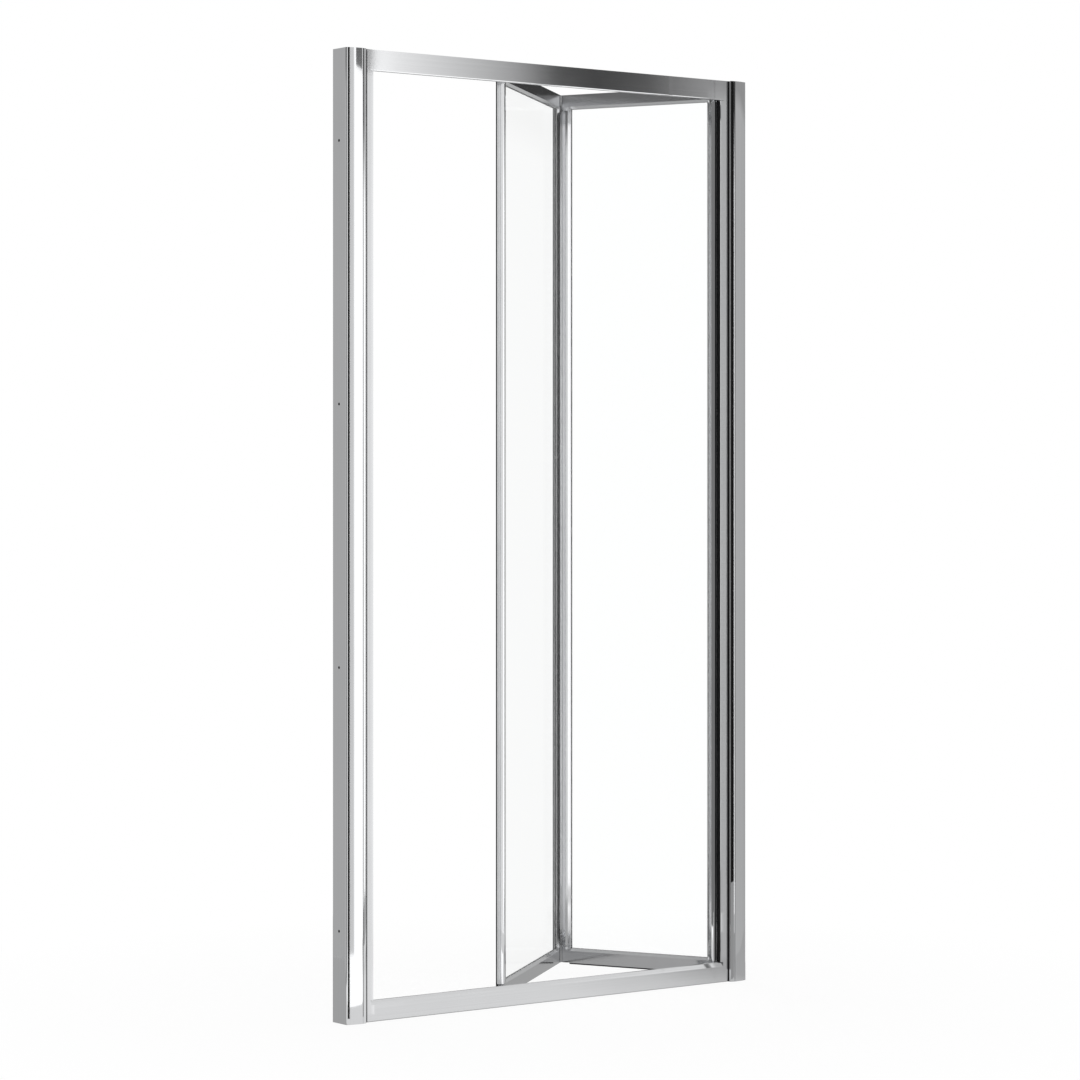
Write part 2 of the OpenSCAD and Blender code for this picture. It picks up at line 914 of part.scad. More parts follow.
module closing_stile() {
    color(metal) on_sliding_leaf() at_guide() difference() {
        leaf_height() closing_section();
        for (z = corner_screw_z) {
            translate([-edge_in, 0, z]) corner_screw();
        }
    }
}

module closing_seal() {
    lead = -edge_in;
    color(grey_seal) on_sliding_leaf() at_guide() difference() {
        block(lead - close_seal_t, lead, -1, half_t, glass_low, glass_high);
        block(
            lead - close_seal_t + 1.2, lead - 1.2, 0.4, half_t - 1.4,
            glass_low - 1, glass_high + 1
        );
    }
}

module sliding_leaf_top_rail() {
    color(metal) on_sliding_leaf() translate([0, fold_off, 0])
        leaf_top_rail(guide_face - sliding_leaf_len, socket_face);
}

module sliding_leaf_bottom_rail() {
    color(metal) on_sliding_leaf() translate([0, fold_off, 0])
        leaf_bottom_rail(guide_face - sliding_leaf_len, socket_face);
}

module sliding_leaf_glass() {
    color(clear) on_sliding_leaf() translate([0, fold_off, 0])
        pane(guide_face - sliding_leaf_len, socket_face);
}

module sliding_leaf_gasket() {
    color(grey_seal) on_sliding_leaf() translate([0, fold_off, 0])
        pane_gasket(guide_face - sliding_leaf_len, socket_face);
}

module sliding_leaf_glazing_beads() {
    color(metal) on_sliding_leaf() translate([0, fold_off, 0])
        glazing_beads(guide_face - sliding_leaf_len, socket_face);
}

module sliding_leaf_screws() {
    color(steel) on_sliding_leaf() for (z = corner_screw_z) {
        translate([socket_box, fold_off, z]) mirror([1, 0, 0]) corner_screw();
        at_guide() translate([-edge_in, 0, z]) corner_screw();
    }
}

module sliding_leaf_wiper() {
    color(grey_seal) on_sliding_leaf() translate([0, fold_off, 0])
        wiper(guide_face + shoe_l - sliding_leaf_len, socket_face);
}

module socket_stile_caps() {
    color(nylon) on_sliding_leaf() translate([0, fold_off, 0])
        stile_caps(socket_face, socket_box);
}

// Nylon plug in the end of the closing stile, bored for the guide stud
module guide_plug(z) {
    color(nylon) on_sliding_leaf() at_guide() difference() {
        block(
            2 * leaf_wall - edge_in, guide_face - leaf_wall,
            -half_t + 2 * leaf_wall, half_hollow, z, z + plug_h
        );
        rod_z(0, 0, z - 1, z + plug_h + 1, stud_r);
    }
}

module guide_plug_top() {
    guide_plug(leaf_high - plug_h);
}

module guide_plug_bottom() {
    guide_plug(leaf_low);
}

module guide_stud_top() {
    color(steel) on_sliding_leaf() at_guide() {
        rod_z(0, 0, leaf_high - pin_in_plug, track_high, stud_r);
        rod_z(0, 0, leaf_high, leaf_high + collar_t, collar_r);
    }
}

module guide_stud_bottom() {
    color(steel) on_sliding_leaf() at_guide() {
        rod_z(0, 0, track_low, leaf_low + pin_in_plug, stud_r);
        rod_z(0, 0, leaf_low - collar_t, leaf_low, collar_r);
    }
}

// A shoe stays in line with the track while the leaf turns above it
module guide_shoe(z) {
    straight = (shoe_l - shoe_w) / 2;
    color(nylon) translate([guide_x, 0, z]) difference() {
        linear_extrude(shoe_h) {
            bar(-straight, straight, -shoe_w / 2, shoe_w / 2);
            translate([-straight, 0]) circle(shoe_w / 2);
            translate([straight, 0]) circle(shoe_w / 2);
        }
        translate([0, 0, -1]) cylinder(r = stud_r + pin_gap, h = shoe_h + 2);
    }
}

module guide_shoe_top() {
    guide_shoe(track_high - shoe_h);
}

module guide_shoe_bottom() {
    guide_shoe(track_low);
}

// ---------- The assembly ----------

wall_profile_left();
wall_profile_right();
strike_jamb();
pivot_jamb();
head_rail();
sill_rail();
jamb_magnet_strip();
pivot_jamb_seal();
frame_screws();
adjuster_screws();
pivot_block_top();
pivot_block_bottom();
pivot_block_screws();
thrust_washer();
track_stop();
track_stop_buffer();
track_stop_screw();
pivot_stile();
bead_stile();
hinge_leaf_top_rail();
hinge_leaf_bottom_rail();
hinge_leaf_glass();
hinge_leaf_gasket();
hinge_leaf_glazing_beads();
hinge_leaf_screws();
hinge_leaf_wiper();
bead_stile_caps();
pivot_plug_top();
pivot_plug_bottom();
pivot_pin_top();
pivot_pin_bottom();
height_nut();
socket_stile();
closing_stile();
sliding_leaf_top_rail();
sliding_leaf_bottom_rail();
sliding_leaf_glass();
sliding_leaf_gasket();
sliding_leaf_glazing_beads();
sliding_leaf_screws();
sliding_leaf_wiper();
socket_stile_caps();
hinge_liner();
fold_seal();
closing_seal();
guide_plug_top();
guide_plug_bottom();
guide_stud_top();
guide_stud_bottom();
guide_shoe_top();
guide_shoe_bottom();
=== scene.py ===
"""Looks of a framed bifold shower door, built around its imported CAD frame. Metres, +Z up."""

import json
import math

import bmesh
import bpy
from mathutils import Matrix, Vector


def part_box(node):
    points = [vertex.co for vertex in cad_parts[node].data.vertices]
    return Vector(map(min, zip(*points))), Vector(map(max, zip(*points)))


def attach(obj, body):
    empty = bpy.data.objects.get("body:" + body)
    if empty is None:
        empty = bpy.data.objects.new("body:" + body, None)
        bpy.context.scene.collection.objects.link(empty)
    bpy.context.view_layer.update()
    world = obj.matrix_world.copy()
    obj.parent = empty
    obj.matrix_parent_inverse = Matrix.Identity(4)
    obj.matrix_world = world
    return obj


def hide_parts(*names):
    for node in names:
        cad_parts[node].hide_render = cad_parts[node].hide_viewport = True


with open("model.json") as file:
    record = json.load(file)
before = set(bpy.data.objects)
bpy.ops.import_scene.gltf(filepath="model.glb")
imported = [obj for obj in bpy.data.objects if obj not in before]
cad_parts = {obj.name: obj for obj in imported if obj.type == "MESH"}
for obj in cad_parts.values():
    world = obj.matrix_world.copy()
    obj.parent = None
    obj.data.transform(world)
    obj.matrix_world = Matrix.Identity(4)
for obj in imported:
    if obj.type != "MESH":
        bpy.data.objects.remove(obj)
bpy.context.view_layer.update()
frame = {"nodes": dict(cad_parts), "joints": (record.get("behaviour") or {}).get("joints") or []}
NODES = frame["nodes"]
JOINTS = {j["name"]: j for j in frame["joints"]}


# ---------- Places, in metres, as in the part's source ----------

# The pose in the photo: each leaf's angle, its length, and the fold's offset from its middle
HINGE_OPEN = math.radians(64.5)
PIVOT = Vector(JOINTS["hinge_leaf_swing"]["pos_m"])
FOLD = Vector(JOINTS["leaf_fold"]["pos_m"])
HINGE_LEN = 0.350
FOLD_OFF = 0.006
SLIDE_LEN = 0.4961
SLIDE_OPEN = math.radians(39.8555)

# From each leaf's own plan to the door's: x along the leaf, y through it
ON_HINGE_LEAF = Matrix.Translation(PIVOT) @ Matrix.Rotation(-HINGE_OPEN, 4, "Z")
ON_SLIDING_LEAF = Matrix.Translation(FOLD) @ Matrix.Rotation(SLIDE_OPEN, 4, "Z")
ON_SLIDING_MIDDLE = ON_SLIDING_LEAF @ Matrix.Translation((0, FOLD_OFF, 0))
ON_GUIDE = ON_SLIDING_LEAF @ Matrix.Translation((-SLIDE_LEN, FOLD_OFF, 0))

# Heights of the leaves, of their glass, and of the seals on the jambs
DOOR_HIGH = 1.85
LEAF_LOW, LEAF_HIGH = 0.018, 1.838
GLASS_LOW, GLASS_HIGH = 0.043, 1.813
FACE_LOW, FACE_HIGH = 0.042, 1.808

# The stiles' inner faces, along each leaf from its pivot and from its fold
BEAD_FACE, PIVOT_FACE = 0.0186 - HINGE_LEN, -0.005
GUIDE_FACE, SOCKET_FACE = 0.005 - SLIDE_LEN, -0.0165


# ---------- Shader helpers ----------


class Shader:
    """A material's node tree, with short calls for nodes and links."""

    def __init__(self, name):
        self.mat = bpy.data.materials.new(name)
        self.mat.use_nodes = True
        self.tree = self.mat.node_tree
        self.tree.nodes.clear()
        self.out = self.tree.nodes.new("ShaderNodeOutputMaterial")

    def node(self, kind, **settings):
        made = self.tree.nodes.new(kind)
        for key, value in settings.items():
            setattr(made, key, value)
        return made

    def link(self, a, b):
        self.tree.links.new(a, b)

    def math(self, operation, a, b=None):
        n = self.node("ShaderNodeMath", operation=operation)
        for i, value in enumerate(v for v in (a, b) if v is not None):
            if isinstance(value, (int, float)):
                n.inputs[i].default_value = value
            else:
                self.link(value, n.inputs[i])
        return n.outputs[0]

    def coords(self, angle=0.0, scale=(1, 1, 1)):
        """Object coordinates, turned back by a leaf's angle and scaled."""
        c = self.node("ShaderNodeTexCoord")
        turn = self.node("ShaderNodeMapping")
        turn.inputs["Rotation"].default_value = (0, 0, -angle)
        grow = self.node("ShaderNodeMapping")
        grow.inputs["Scale"].default_value = scale
        self.link(c.outputs["Object"], turn.inputs["Vector"])
        self.link(turn.outputs[0], grow.inputs["Vector"])
        return grow.outputs[0]

    def noise(self, vector, scale, detail=2.0, roughness=0.5):
        n = self.node("ShaderNodeTexNoise")
        n.inputs["Scale"].default_value = scale
        n.inputs["Detail"].default_value = detail
        n.inputs["Roughness"].default_value = roughness
        self.link(vector, n.inputs["Vector"])
        return n.outputs["Fac"]

    def remap(self, value, low, high, from_low=0.3, from_high=0.7):
        n = self.node("ShaderNodeMapRange")
        n.inputs["From Min"].default_value = from_low
        n.inputs["From Max"].default_value = from_high
        n.inputs["To Min"].default_value = low
        n.inputs["To Max"].default_value = high
        self.link(value, n.inputs["Value"])
        return n.outputs[0]

    def mix_colour(self, factor, a, b):
        """Mixes two colours, each plain or from another node."""
        n = self.node("ShaderNodeMix", data_type="RGBA")
        self.link(factor, n.inputs[0])
        for i, colour in ((6, a), (7, b)):
            if isinstance(colour, tuple):
                n.inputs[i].default_value = (*colour, 1)
            else:
                self.link(colour, n.inputs[i])
        return n.outputs[2]

    def mix_value(self, factor, a, b):
        n = self.node("ShaderNodeMix", data_type="FLOAT")
        for i, value in enumerate((factor, a, b)):
            self.link(value, n.inputs[(0, 2, 3)[i]])
        return n.outputs[0]

    def mix_vector(self, factor, a, b):
        n = self.node("ShaderNodeMix", data_type="VECTOR")
        for i, value in enumerate((factor, a, b)):
            self.link(value, n.inputs[(0, 4, 5)[i]])
        return n.outputs[1]

    def edge_distance(self, value, middle, half):
        """How far inside a span a coordinate lies."""
        away = self.math("ABSOLUTE", self.math("SUBTRACT", value, middle))
        return self.math("SUBTRACT", half, away)

    def world_way(self, along):
        """A direction fixed to the object, as the tangent input wants it."""
        way = self.node("ShaderNodeCombineXYZ")
        for i, value in enumerate(along):
            way.inputs[i].default_value = value
        world = self.node("ShaderNodeVectorTransform", vector_type="VECTOR")
        world.convert_from, world.convert_to = "OBJECT", "WORLD"
        self.link(way.outputs[0], world.inputs[0])
        return world.outputs[0]

    def bump(self, height, strength, distance):
        n = self.node("ShaderNodeBump")
        n.inputs["Strength"].default_value = strength
        n.inputs["Distance"].default_value = distance
        self.link(height, n.inputs["Height"])
        return n.outputs[0]

    def principled(self, **plain):
        p = self.node("ShaderNodeBsdfPrincipled")
        for key, value in plain.items():
            p.inputs[key.replace("_", " ")].default_value = value
        self.link(p.outputs[0], self.out.inputs["Surface"])
        return p


# ---------- Materials ----------

SILVER_DARK, SILVER_LIGHT = (0.74, 0.745, 0.755), (0.80, 0.805, 0.815)

# Noise scales that draw fine lines along Z and along X, and the span most noise lies in
ALONG_Z, ALONG_X = (900.0, 900.0, 1.2), (1.2, 900.0, 900.0)
NOISE_LOW, NOISE_HIGH = 0.35, 0.65


def die_lines(s, angle, scale):
    return s.noise(s.coords(angle, scale), 1.0, 3.0, 0.6)


def silver_finish(s, lines, tone, shine, rough, way):
    """Bright anodised metal: rough gives its roughness where shine is least and most."""
    p = s.principled(Metallic=1.0, Anisotropic=0.6, Anisotropic_Rotation=0.25)
    s.link(s.remap(shine, *rough, NOISE_LOW, NOISE_HIGH), p.inputs["Roughness"])
    shade = s.remap(tone, 0, 1, NOISE_LOW, NOISE_HIGH)
    s.link(s.mix_colour(shade, SILVER_DARK, SILVER_LIGHT), p.inputs["Base Color"])
    s.link(s.bump(lines, 0.12, 0.00002), p.inputs["Normal"])
    s.link(way, p.inputs["Tangent"])
    return s.mat


def aluminium(name, angle, vertical, rough=(0.08, 0.12)):
    """Extrusion: die lines run along it, with a soft haze over them."""
    s = Shader(name)
    lines = die_lines(s, angle, ALONG_Z if vertical else ALONG_X)
    haze = s.noise(s.coords(angle), 14.0, 3.0, 0.55)
    cloud = s.noise(s.coords(angle), 3.0, 2.0, 0.5)
    shine = s.math("ADD", s.math("MULTIPLY", lines, 0.6), s.math("MULTIPLY", haze, 0.4))
    tone = s.math("ADD", s.math("MULTIPLY", lines, 0.5), s.math("MULTIPLY", cloud, 0.5))
    along = (0, 0, 1) if vertical else (math.cos(angle), math.sin(angle), 0)
    return silver_finish(s, lines, tone, shine, rough, s.world_way(along))


def bead_aluminium(name, angle, origin, x0, x1):
    """Glazing bead strips round a pane: each has its die lines along itself, to the mitre."""
    s = Shader(name)
    place = s.node("ShaderNodeVectorMath", operation="SUBTRACT")
    c = s.node("ShaderNodeTexCoord")
    s.link(c.outputs["Object"], place.inputs[0])
    place.inputs[1].default_value = origin
    turn = s.node("ShaderNodeMapping")
    turn.inputs["Rotation"].default_value = (0, 0, -angle)
    s.link(place.outputs[0], turn.inputs["Vector"])
    split = s.node("ShaderNodeSeparateXYZ")
    s.link(turn.outputs[0], split.inputs[0])
    half_x, half_z = (x1 - x0) / 2, (GLASS_HIGH - GLASS_LOW) / 2
    from_side = s.edge_distance(split.outputs[0], (x0 + x1) / 2, half_x)
    from_end = s.edge_distance(split.outputs[2], (GLASS_LOW + GLASS_HIGH) / 2, half_z)
    upright_strip = s.math("LESS_THAN", from_side, from_end)
    lines_z, lines_x = die_lines(s, angle, ALONG_Z), die_lines(s, angle, ALONG_X)
    lines = s.mix_value(upright_strip, lines_x, lines_z)
    across = s.world_way((math.cos(angle), math.sin(angle), 0))
    way = s.mix_vector(upright_strip, across, s.world_way((0, 0, 1)))
    return silver_finish(s, lines, lines, lines, (0.1, 0.16), way)


def rubber(name, dark, light, low, high):
    """Extruded seal: satin skin with a fine grain and a slight bloom."""
    s = Shader(name)
    p = s.principled(Specular_IOR_Level=0.25)
    fine = s.noise(s.coords(), 2200.0, 3.0, 0.6)
    bloom = s.noise(s.coords(0, (1, 1, 0.3)), 60.0, 4.0, 0.6)
    s.link(s.mix_colour(s.remap(bloom, 0, 1), dark, light), p.inputs["Base Color"])
    s.link(s.remap(bloom, low, high), p.inputs["Roughness"])
    s.link(s.bump(fine, 0.25, 0.00005), p.inputs["Normal"])
    return s.mat


def moulded_nylon(name):
    """Injection-moulded nylon: fine spark-eroded grain and a waxy sheen."""
    s = Shader(name)
    p = s.principled(Subsurface_Weight=0.08, Specular_IOR_Level=0.45)
    p.inputs["Subsurface Radius"].default_value = (0.002, 0.002, 0.0015)
    p.inputs["Subsurface Scale"].default_value = 0.5
    grain = s.noise(s.coords(), 3200.0, 2.0, 0.7)
    flow = s.noise(s.coords(0, (1, 1, 2)), 90.0, 3.0, 0.5)
    s.link(
        s.mix_colour(s.remap(flow, 0, 1), (0.80, 0.80, 0.77), (0.87, 0.87, 0.85)),
        p.inputs["Base Color"],
    )
    s.link(s.remap(flow, 0.38, 0.5), p.inputs["Roughness"])
    s.link(s.bump(grain, 0.3, 0.00004), p.inputs["Normal"])
    return s.mat


def stainless(name):
    """Turned stainless steel: fine lathe rings and rolled threads."""
    s = Shader(name)
    p = s.principled(Metallic=1.0)
    turned = s.noise(s.coords(0, (1, 1, 8)), 900.0, 2.0, 0.6)
    s.link(
        s.mix_colour(s.remap(turned, 0, 1), (0.55, 0.555, 0.57), (0.68, 0.685, 0.69)),
        p.inputs["Base Color"],
    )
    s.link(s.remap(turned, 0.16, 0.3), p.inputs["Roughness"])
    s.link(s.bump(turned, 0.15, 0.00003), p.inputs["Normal"])
    return s.mat


# The real index is 1.5, but the photo's panes mirror nothing
GLASS_IOR = 1.04


def clear_glass(name):
    """Toughened safety glass: clear, with a trace of green and the faint ripple of tempering."""
    s = Shader(name)
    p = s.principled(
        Transmission_Weight=1.0, IOR=GLASS_IOR, Roughness=0.0,
        Base_Color=(0.994, 1.0, 0.998, 1),
    )
    ripple = s.noise(s.coords(0, (1, 1, 0.6)), 7.0, 1.0, 0.4)
    s.link(s.bump(ripple, 0.02, 0.0004), p.inputs["Normal"])
    return s.mat


def make_materials():
    """One material for each kind of surface, by the direction of its die lines."""
    return {
        "wall": aluminium("wall_profile_silver", 0, True, (0.05, 0.08)),
        "jamb": aluminium("jamb_silver", 0, True),
        "rail": aluminium("frame_rail_silver", 0, False),
        "stile": aluminium("stile_silver", 0, True),
        "hinge_rail": aluminium("hinge_leaf_rail_silver", -HINGE_OPEN, False),
        "slide_rail": aluminium("sliding_leaf_rail_silver", SLIDE_OPEN, False),
        "hinge_bead": bead_aluminium(
            "hinge_leaf_bead_silver", -HINGE_OPEN, PIVOT, BEAD_FACE, PIVOT_FACE,
        ),
        "slide_bead": bead_aluminium(
            "sliding_leaf_bead_silver", SLIDE_OPEN, FOLD, GUIDE_FACE, SOCKET_FACE,
        ),
        "glass": clear_glass("toughened_glass"),
        "gasket": rubber("grey_gasket", (0.36, 0.36, 0.365), (0.42, 0.42, 0.425), 0.4, 0.6),
        "wiper": rubber("dark_wiper", (0.03, 0.03, 0.032), (0.05, 0.05, 0.053), 0.4, 0.6),
        "seal": rubber("pale_seal", (0.62, 0.63, 0.64), (0.7, 0.71, 0.72), 0.3, 0.5),
        "black": rubber(
            "black_rubber", (0.005, 0.005, 0.0055), (0.012, 0.012, 0.013), 0.5, 0.75,
        ),
        "steel": stainless("stainless_steel"),
        "nylon": moulded_nylon("satin_nylon"),
    }


MATS = make_materials()

NODE_MATS = {
    "wall": ["wall_profile_left", "wall_profile_right"],
    "jamb": ["strike_jamb", "pivot_jamb"],
    "rail": ["head_rail", "sill_rail"],
    "stile": ["pivot_stile", "bead_stile", "socket_stile", "closing_stile"],
    "hinge_rail": ["hinge_leaf_top_rail", "hinge_leaf_bottom_rail"],
    "slide_rail": ["sliding_leaf_top_rail", "sliding_leaf_bottom_rail"],
    "hinge_bead": ["hinge_leaf_glazing_beads"],
    "slide_bead": ["sliding_leaf_glazing_beads"],
    "glass": ["hinge_leaf_glass", "sliding_leaf_glass"],
    "gasket": ["hinge_leaf_gasket", "sliding_leaf_gasket"],
    "seal": [
        "jamb_magnet_strip", "closing_seal", "hinge_leaf_wiper", "sliding_leaf_wiper",
    ],
    "black": ["pivot_jamb_seal", "track_stop_buffer", "fold_seal"],
    "steel": [
        "frame_screws", "adjuster_screws", "pivot_block_screws", "track_stop_screw",
        "hinge_leaf_screws", "sliding_leaf_screws", "pivot_pin_top", "pivot_pin_bottom",
        "height_nut", "guide_stud_top", "guide_stud_bottom",
    ],
    "nylon": [
        "pivot_block_top", "pivot_block_bottom", "thrust_washer", "track_stop",
        "bead_stile_caps", "pivot_plug_top", "pivot_plug_bottom", "socket_stile_caps",
        "hinge_liner", "guide_plug_top", "guide_plug_bottom", "guide_shoe_top",
        "guide_shoe_bottom",
    ],
}


def dress(node, material):
    """Gives a CAD node its material."""
    for slot in NODES[node].material_slots:
        slot.link = "DATA"
        slot.material = material


for key, names in NODE_MATS.items():
    for n in names:
        dress(n, MATS[key])


# ---------- Sections and extrusions ----------


def rounded(corners, radius, steps=4):
    """A closed outline with rounded corners."""
    out = []
    for i, corner in enumerate(corners):
        c = Vector(corner)
        back = (Vector(corners[i - 1]) - c).normalized()
        on = (Vector(corners[(i + 1) % len(corners)]) - c).normalized()
        half = back.angle(on) / 2
        centre = c + (back + on).normalized() * (radius / math.sin(half))
        start = c + back * (radius / math.tan(half)) - centre
        end = c + on * (radius / math.tan(half)) - centre
        for k in range(steps + 1):
            out.append(centre + start.lerp(end, k / steps).normalized() * radius)
    return out


def arc(centre, r, a0, a1, steps):
    """Points on an arc, by angles in degrees."""
    turns = [math.radians(a0 + (a1 - a0) * k / steps) for k in range(steps + 1)]
    return [Vector((centre[0] + r * math.cos(t), centre[1] + r * math.sin(t))) for t in turns]


def fin(path, root, tip):
    """Outline of a soft lip along a path, root thick where it starts and tip where it ends."""
    left, right = [], []
    last = len(path) - 1
    for k, point in enumerate(path):
        way = path[min(k + 1, last)] - path[max(k - 1, 0)]
        side = Vector((-way.y, way.x)).normalized()
        half = (root + (tip - root) * k / last) / 2
        left.append(point + side * half)
        right.append(point - side * half)
    way = (path[last] - path[last - 1]).normalized()
    nose = [path[last] + way * (tip / 2)]
    return right + nose + left[::-1]


def ribbed(x, y0, y1, count, deep):
    """Points up a face at x with fine extruded ribs on it, from y0 to y1."""
    step = (y1 - y0) / (4 * count)
    return [
        Vector((x - deep * (0, 1, 1, 0)[k % 4], y0 + step * k)) for k in range(4 * count + 1)
    ]


class Solid:
    """Gathers a piece's faces before they become one object."""

    def __init__(self):
        self.verts = []
        self.faces = []

    def loop(self, points):
        """Adds points and returns their numbers."""
        first = len(self.verts)
        self.verts += [Vector(p) for p in points]
        return list(range(first, len(self.verts)))

    def bridge(self, a, b):
        """A closed band of faces between two loops."""
        count = len(a)
        for k in range(count):
            n = (k + 1) % count
            self.faces.append((a[k], a[n], b[n], b[k]))

    def extrude(self, outline, low, high, place, hole=None):
        """An outline run from low to high; place turns (a, b, c) into a point."""
        ends = []
        for c in (low, high):
            ends.append(self.loop([place @ Vector((p[0], p[1], c)) for p in outline]))
        self.bridge(ends[0], ends[1])
        if hole is None:
            self.faces.append(tuple(reversed(ends[0])))
            self.faces.append(tuple(ends[1]))
            return
        inner = []
        for c in (low, high):
            inner.append(self.loop([place @ Vector((p[0], p[1], c)) for p in hole]))
        self.bridge(inner[1], inner[0])
        self.bridge(inner[0], ends[0])
        self.bridge(ends[1], inner[1])

    def turned(self, profile, place, sides):
        """Loops round the Z axis through a profile of (radius, height), and their bands."""
        turns = [2 * math.pi * (k + 0.5) / sides for k in range(sides)]
        rings = []
        for r, h in profile:
            ring = [place @ Vector((r * math.cos(t), r * math.sin(t), h)) for t in turns]
            rings.append(self.loop(ring))
        for a, b in zip(rings, rings[1:]):
            self.bridge(a, b)
        return rings

    def frame(self, section, x0, x1, z0, z1, place, wide=(1.0, 1.0)):
        """A closed section of (inward, depth) run round a rectangle with mitred corners."""
        rings = []
        for side_x, side_z in ((0, 0), (1, 0), (1, 1), (0, 1)):
            points = []
            for inward, depth in section:
                x = x1 - inward * wide[1] if side_x else x0 + inward * wide[0]
                z = z1 - inward if side_z else z0 + inward
                points.append(place @ Vector((x, depth, z)))
            rings.append(self.loop(points))
        for k in range(4):
            self.bridge(rings[k], rings[(k + 1) % 4])

    def piece(self, name, body, slot, material, replaces=(), smooth=30):
        me = bpy.data.meshes.new(name)
        me.from_pydata(self.verts, [], self.faces)
        bm = bmesh.new()
        bm.from_mesh(me)
        bmesh.ops.remove_doubles(bm, verts=bm.verts, dist=1e-7)
        bmesh.ops.recalc_face_normals(bm, faces=bm.faces)
        bm.to_mesh(me)
        bm.free()
        me.polygons.foreach_set("use_smooth", [True] * len(me.polygons))
        me.set_sharp_from_angle(angle=math.radians(smooth))
        me.materials.append(material)
        o = bpy.data.objects.new(name, me)
        bpy.context.scene.collection.objects.link(o)
        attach(o, body)
        if replaces:
            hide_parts(*replaces)


def mm(points):
    """Section points written in millimetres, as metres."""
    return [Vector((p[0] / 1000, p[1] / 1000)) for p in points]


# Ways to stand an outline: up the door, and along a leaf
UPRIGHT = Matrix.Identity(4)
ALONG = Matrix(((0, 0, 1, 0), (1, 0, 0, 0), (0, 1, 0, 0), (0, 0, 0, 1)))


# ---------- Soft seals, and black strips of painted shade ---


def pivot_jamb_seal():
    """Black lip that closes the slot between the pivot jamb and the hinge leaf."""
    made = Solid()
    face = [(431.6, -19.7), (431.5, -18.2), (432.0, -15.6), (431.9, -12.4), (431.5, -9.8)]
    back = [(432.0, -8.7), (433.2, -8.8), (433.6, -10.2), (433.5, -13.4), (434.4, -15.8),
            (436.9, -16.6), (436.9, -19.7)]
    made.extrude(rounded(mm(face + back), 0.0002), FACE_LOW, FACE_HIGH, UPRIGHT)
    made.piece(
        "pivot_jamb_lip_seal", "frame", "black_rubber", MATS["black"],
        ["pivot_jamb_seal"], 50,
    )


def shadow_gap_strips():
    """Thin black strips over the slot where each jamb slides in its wall profile: painted shade
    for the shadow in that slot, not a seal.
    """
    made = Solid()
    front, back, inset = -21.75, -21.5, 0.0005
    for near, far in ((-445.0, -449.0), (448.7, 450.9)):
        outline = [(near, front), (far, front), (far, back), (near, back)]
        made.extrude(rounded(mm(outline), 0.00008, 2), inset, DOOR_HIGH - inset, UPRIGHT)
    # The black rubber material here stands for painted shade in the slot.
    made.piece("jamb_shadow_gap_strips", "frame", "black_rubber", MATS["black"])


def magnet_section(face, foot, way):
    """Section of a soft magnetic seal, across x from its foot to its ribbed face."""
    def x(depth):
        return foot + way * depth
    deep, ribs, rib_pitch, rib_deep = abs(face - foot), 11, 0.46, 0.25
    outline = [(x(0), -0.8), (x(0.9), -0.8), (x(1.1), -0.2), (x(deep - 1.8), -0.9)]
    outline += [(x(deep - 0.5), -0.3), (x(deep - 0.1), 0.6)]
    outline += [(x(deep - rib_deep * (k % 2)), 1.2 + rib_pitch * k) for k in range(ribs)]
    outline += [(x(deep - 0.1), 6.4), (x(deep - 0.5), 7.3), (x(deep - 1.8), 7.9)]
    outline += [(x(1.1), 7.2), (x(0.9), 7.8), (x(0), 7.8)]
    return mm(outline)


def jamb_magnet_strip():
    """Pale magnetic seal on the strike jamb, which the closed leaf meets."""
    made = Solid()
    made.extrude(magnet_section(-431.5, -437.0, 1), FACE_LOW, FACE_HIGH, UPRIGHT)
    made.piece(
        "jamb_magnet_seal", "frame", "soft_seal", MATS["seal"], ["jamb_magnet_strip"], 50,
    )


def closing_seal():
    """Pale magnetic seal on the leading stile, with a dark soft lip along its inner edge."""
    made = Solid()
    section = [p for p in magnet_section(-13.0, -8.0, -1) if p.y < 0.0054]
    section += mm([(-12.6, 5.5), (-8.0, 5.5)])
    made.extrude(section, GLASS_LOW, GLASS_HIGH, ON_GUIDE)
    made.piece(
        "closing_magnet_seal", "sliding_leaf", "soft_seal", MATS["seal"], ["closing_seal"], 50,
    )
    lip, inset = Solid(), 0.002
    outline = [(-12.9, 5.7), (-12.9, 7.0), (-12.4, 7.8), (-11.0, 7.85), (-9.0, 7.3), (-8.0, 7.3),
               (-8.0, 5.6), (-9.5, 5.6), (-11.0, 6.2)]
    section = rounded(mm(outline), 0.00015, 3)
    lip.extrude(section, LEAF_LOW + inset, LEAF_HIGH - inset, ON_GUIDE)
    lip.piece(
        "closing_seal_lip", "sliding_leaf", "black_rubber", MATS["black"], ["closing_seal"], 50,
    )


def fold_seal():
    """Black bulb on a ribbed pad, which fills the fold on its inner side."""
    made = Solid()
    pad = [Vector(p) for p in ((-3.5, 6.05), (-2.4, 6.05))]
    pad += ribbed(-2.25, 6.3, 11.7, 5, -0.12)
    pad += [Vector(p) for p in ((-2.4, 11.95), (-3.5, 11.95))]
    made.extrude(mm(pad), GLASS_LOW, GLASS_HIGH, ON_SLIDING_LEAF)
    middle, steps = (0.6, 9), 47
    bulb, bore = [arc(middle, r, 0, 352.5, steps) for r in (3.15, 2.4)]
    made.extrude(mm(bulb), GLASS_LOW, GLASS_HIGH, ON_SLIDING_LEAF, hole=mm(bore))
    made.piece(
        "fold_bulb_seal", "sliding_leaf", "black_rubber", MATS["black"], ["fold_seal"], 40,
    )


